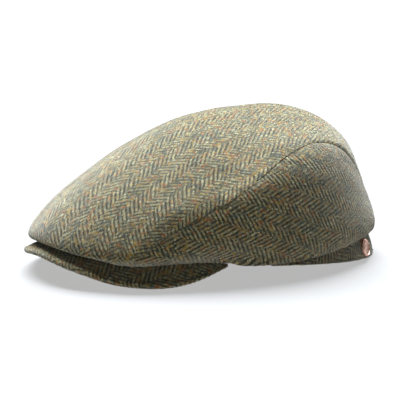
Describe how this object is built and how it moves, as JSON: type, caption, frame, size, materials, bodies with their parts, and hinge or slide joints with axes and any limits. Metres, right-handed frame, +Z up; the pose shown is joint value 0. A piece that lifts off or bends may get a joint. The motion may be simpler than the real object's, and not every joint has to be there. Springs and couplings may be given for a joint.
{
  "type": "flat cap",
  "caption": "Flat cap of herringbone tweed with a one-piece top, two side panels, a short stiff peak, a narrow back band and a round metal button.",
  "frame": {"origin": "bottom centre of the bounding box, on the surface the cap rests on", "axes": "+Z up, -Y towards the peak, +X towards the wearer's left"},
  "size_m": [0.1858, 0.2646, 0.108],
  "materials": {
    "tweed": "herringbone wool tweed",
    "button_metal": "satin copper-coloured metal"
  },
  "bodies": {
    "root": {"top_panel": "tweed", "left_side_panel": "tweed", "right_side_panel": "tweed", "back_band": "tweed", "peak": "tweed", "rivet": "button_metal"}
  },
  "joints": []
}
